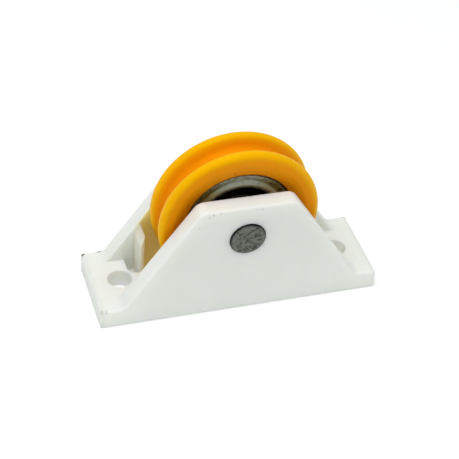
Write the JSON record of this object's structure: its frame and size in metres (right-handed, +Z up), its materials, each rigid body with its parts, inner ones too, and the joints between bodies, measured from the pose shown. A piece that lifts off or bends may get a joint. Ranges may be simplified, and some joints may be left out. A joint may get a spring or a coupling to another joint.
{
  "type": "fairlead chock",
  "caption": "Screw-down fairlead: a moulded housing with two sloped cheeks carries a grooved sheave on a shielded ball bearing and a plain axle pin.",
  "frame": {"origin": "middle of the base plate's underside, halfway between the two screw holes", "axes": "+X along the base plate, +Y across it away from the front cheek, +Z up out of the mounting surface"},
  "size_m": [0.082, 0.027, 0.0491],
  "materials": {
    "housing_plastic": "moulded white plastic, slightly yellowed and worn",
    "sheave_plastic": "moulded orange-yellow plastic, satin",
    "pin_steel": "turned steel, dull",
    "spacer_steel": "turned steel",
    "bearing_steel": "ground steel, worn",
    "shield_steel": "pressed steel sheet",
    "cage_steel": "pressed steel sheet",
    "ball_steel": "polished"
  },
  "bodies": {
    "block": {"housing": "housing_plastic", "axle_pin": "pin_steel", "spacer_front": "spacer_steel", "spacer_back": "spacer_steel", "bearing_inner_ring": "bearing_steel"},
    "wheel": {"sheave": "sheave_plastic", "bearing_outer_ring": "bearing_steel", "shield_front": "shield_steel", "shield_back": "shield_steel"},
    "cage": {"cage_front": "cage_steel", "cage_back": "cage_steel", "cage_rivets": "cage_steel"},
    "ball_1": {"ball_1": "ball_steel"},
    "ball_2": {"ball_2": "ball_steel"},
    "ball_3": {"ball_3": "ball_steel"},
    "ball_4": {"ball_4": "ball_steel"},
    "ball_5": {"ball_5": "ball_steel"},
    "ball_6": {"ball_6": "ball_steel"},
    "ball_7": {"ball_7": "ball_steel"},
    "ball_8": {"ball_8": "ball_steel"}
  },
  "joints": [
    {"name": "sheave_spin", "type": "hinge", "parent": "block", "child": "wheel", "pos_m": [0, 0, 0.0258], "axis": [0, 1, 0], "continuous": true},
    {"name": "cage_spin", "type": "hinge", "parent": "block", "child": "cage", "pos_m": [0, 0, 0.0258], "axis": [0, 1, 0], "continuous": true},
    {"name": "ball_1_roll", "type": "hinge", "parent": "cage", "child": "ball_1", "pos_m": [0, 0, 0.0358], "axis": [0, 1, 0], "continuous": true},
    {"name": "ball_2_roll", "type": "hinge", "parent": "cage", "child": "ball_2", "pos_m": [-0.00707, 0, 0.03287], "axis": [0, 1, 0], "continuous": true},
    {"name": "ball_3_roll", "type": "hinge", "parent": "cage", "child": "ball_3", "pos_m": [-0.01, 0, 0.0258], "axis": [0, 1, 0], "continuous": true},
    {"name": "ball_4_roll", "type": "hinge", "parent": "cage", "child": "ball_4", "pos_m": [-0.00707, 0, 0.01873], "axis": [0, 1, 0], "continuous": true},
    {"name": "ball_5_roll", "type": "hinge", "parent": "cage", "child": "ball_5", "pos_m": [0, 0, 0.0158], "axis": [0, 1, 0], "continuous": true},
    {"name": "ball_6_roll", "type": "hinge", "parent": "cage", "child": "ball_6", "pos_m": [0.00707, 0, 0.01873], "axis": [0, 1, 0], "continuous": true},
    {"name": "ball_7_roll", "type": "hinge", "parent": "cage", "child": "ball_7", "pos_m": [0.01, 0, 0.0258], "axis": [0, 1, 0], "continuous": true},
    {"name": "ball_8_roll", "type": "hinge", "parent": "cage", "child": "ball_8", "pos_m": [0.00707, 0, 0.03287], "axis": [0, 1, 0], "continuous": true}
  ],
  "couplings": [
    {"joint": "cage_spin", "follows": "sheave_spin", "ratio": 0.61905},
    {"joint": "ball_1_roll", "follows": "sheave_spin", "ratio": 1.9809},
    {"joint": "ball_2_roll", "follows": "sheave_spin", "ratio": 1.9809},
    {"joint": "ball_3_roll", "follows": "sheave_spin", "ratio": 1.9809},
    {"joint": "ball_4_roll", "follows": "sheave_spin", "ratio": 1.9809},
    {"joint": "ball_5_roll", "follows": "sheave_spin", "ratio": 1.9809},
    {"joint": "ball_6_roll", "follows": "sheave_spin", "ratio": 1.9809},
    {"joint": "ball_7_roll", "follows": "sheave_spin", "ratio": 1.9809},
    {"joint": "ball_8_roll", "follows": "sheave_spin", "ratio": 1.9809}
  ]
}
